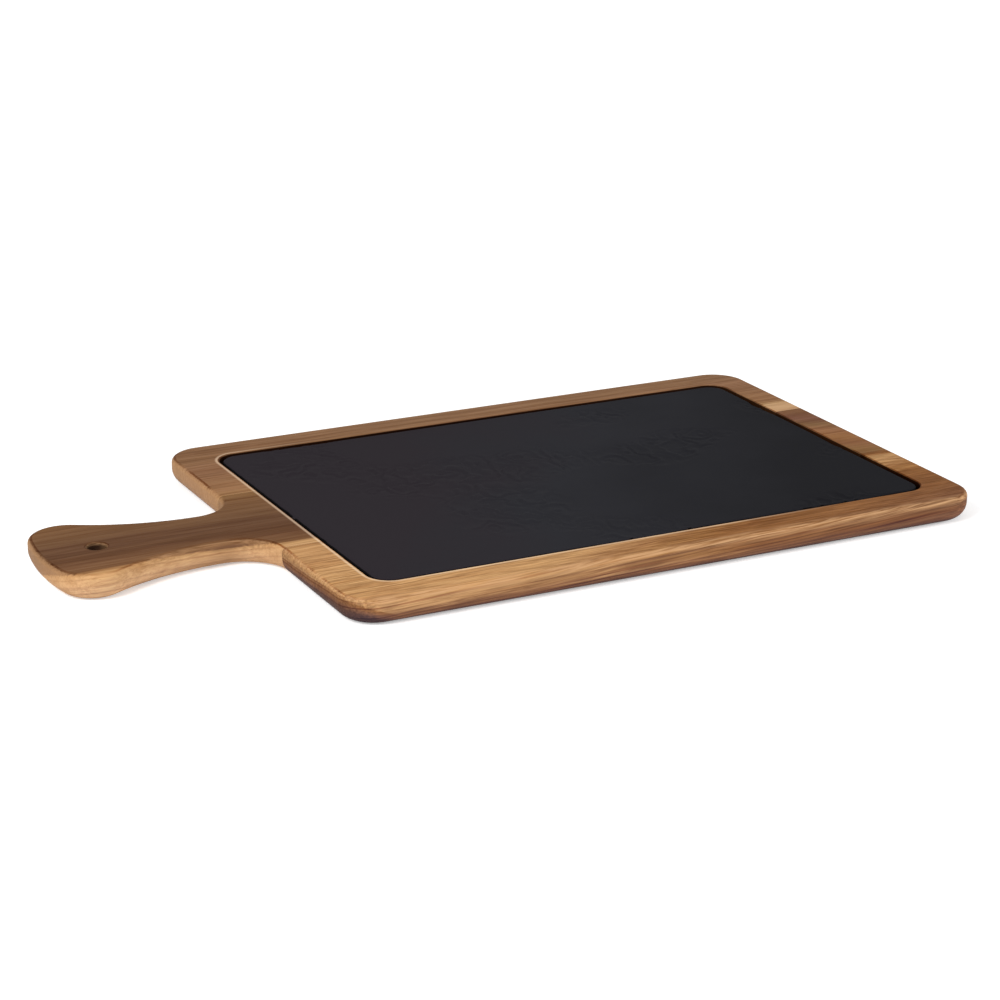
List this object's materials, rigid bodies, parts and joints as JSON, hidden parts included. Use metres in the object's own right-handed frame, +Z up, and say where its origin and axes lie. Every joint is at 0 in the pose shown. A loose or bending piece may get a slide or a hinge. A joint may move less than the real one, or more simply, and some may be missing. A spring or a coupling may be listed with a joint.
{
  "type": "serving board",
  "caption": "Wooden serving paddle with a waisted handle, a hanging hole and a slate plate that drops into a recess in its top.",
  "frame": {"origin": "on the underside, at the middle of the whole length and width, handle included", "axes": "+X runs along the board from the handle to the plain end, +Y to the left stave's side, +Z up out of the slate"},
  "size_m": [0.442, 0.237, 0.0135],
  "materials": {
    "acacia_handle": "satin",
    "acacia_left": "satin",
    "acacia_right": "satin",
    "slate": "matte"
  },
  "bodies": {
    "board": {"handle_stave": "acacia_handle", "left_stave": "acacia_left", "right_stave": "acacia_right"},
    "slate": {"slate_plate": "slate"}
  },
  "joints": [
    {"name": "slate_lift", "type": "slide", "parent": "board", "child": "slate", "axis": [0, 0, 1], "range_m": [0, 0.04]}
  ]
}
